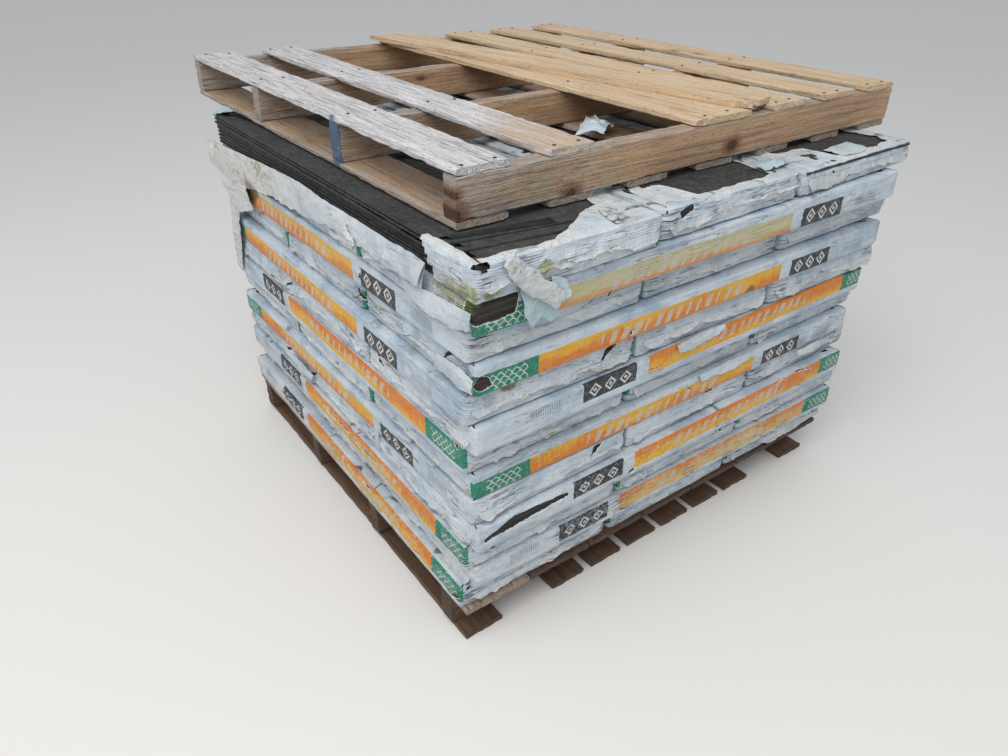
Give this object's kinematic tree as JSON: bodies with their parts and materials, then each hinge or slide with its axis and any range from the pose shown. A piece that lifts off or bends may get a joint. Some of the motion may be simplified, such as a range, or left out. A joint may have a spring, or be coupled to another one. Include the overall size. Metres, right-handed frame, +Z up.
{
  "type": "pallet of asphalt shingle bundles",
  "caption": "Film-wrapped asphalt shingle bundles cross-stacked on a wooden pallet, one top bundle torn open, with an empty worn pallet lying on the load.",
  "frame": {"origin": "on the floor under the base pallet's fifth bottom board, halfway across the load", "axes": "+Z up, +X along the base pallet's stringers, +Y along its deck boards"},
  "size_m": [1.2022, 1.286, 0.9188],
  "materials": {
    "printed_film": "pale heat-sealed film, printed, wrinkled and dusty",
    "torn_film": "torn pale film stained green by algae",
    "bare_shingles": "dark mineral granules on asphalt, mossy at the edges",
    "base_pallet_wood": "dark damp sawn softwood",
    "top_pallet_wood": "sawn softwood, grey and weathered on the near boards"
  },
  "bodies": {
    "root": {"base_pallet_bottom_board_1": "base_pallet_wood", "base_pallet_bottom_board_2": "base_pallet_wood", "base_pallet_bottom_board_3": "base_pallet_wood", "base_pallet_bottom_board_4": "base_pallet_wood", "base_pallet_bottom_board_5": "base_pallet_wood", "base_pallet_bottom_board_6": "base_pallet_wood", "base_pallet_bottom_board_7": "base_pallet_wood", "base_pallet_bottom_board_8": "base_pallet_wood", "base_pallet_deck_board_1": "base_pallet_wood", "base_pallet_deck_board_2": "base_pallet_wood", "base_pallet_deck_board_3": "base_pallet_wood", "base_pallet_deck_board_4": "base_pallet_wood", "base_pallet_deck_board_5": "base_pallet_wood", "base_pallet_deck_board_6": "base_pallet_wood", "base_pallet_deck_board_7": "base_pallet_wood", "base_pallet_stringer_1": "base_pallet_wood", "base_pallet_stringer_2": "base_pallet_wood", "base_pallet_stringer_3": "base_pallet_wood", "base_pallet_stringer_4": "base_pallet_wood", "bundle_layer_01": "printed_film", "bundle_layer_02": "printed_film", "bundle_layer_03": "printed_film", "bundle_layer_04": "printed_film", "bundle_layer_05": "printed_film", "bundle_layer_06": "printed_film", "bundle_layer_07": "printed_film", "bundle_layer_08": "printed_film", "bundle_layer_09": "printed_film", "bundle_layer_10": "printed_film", "bundle_layer_11": "printed_film", "bundle_layer_12": "printed_film", "bundle_layer_13": "printed_film", "opened_bundle_shingles": "bare_shingles", "top_pallet_bottom_board_1": "top_pallet_wood", "top_pallet_bottom_board_2": "top_pallet_wood", "top_pallet_bottom_board_3": "top_pallet_wood", "top_pallet_bottom_board_4": "top_pallet_wood", "top_pallet_bottom_board_5": "top_pallet_wood", "top_pallet_bottom_board_6": "top_pallet_wood", "top_pallet_bottom_board_7": "top_pallet_wood", "top_pallet_deck_board_1": "top_pallet_wood", "top_pallet_deck_board_2": "top_pallet_wood", "top_pallet_deck_board_3": "top_pallet_wood", "top_pallet_deck_board_4": "top_pallet_wood", "top_pallet_deck_board_5": "top_pallet_wood", "top_pallet_deck_board_6": "top_pallet_wood", "top_pallet_loose_board": "top_pallet_wood", "top_pallet_stringer_1": "top_pallet_wood", "top_pallet_stringer_2": "top_pallet_wood", "top_pallet_stringer_3": "top_pallet_wood", "top_pallet_stringer_4": "top_pallet_wood", "torn_wrap": "torn_film"}
  },
  "joints": []
}
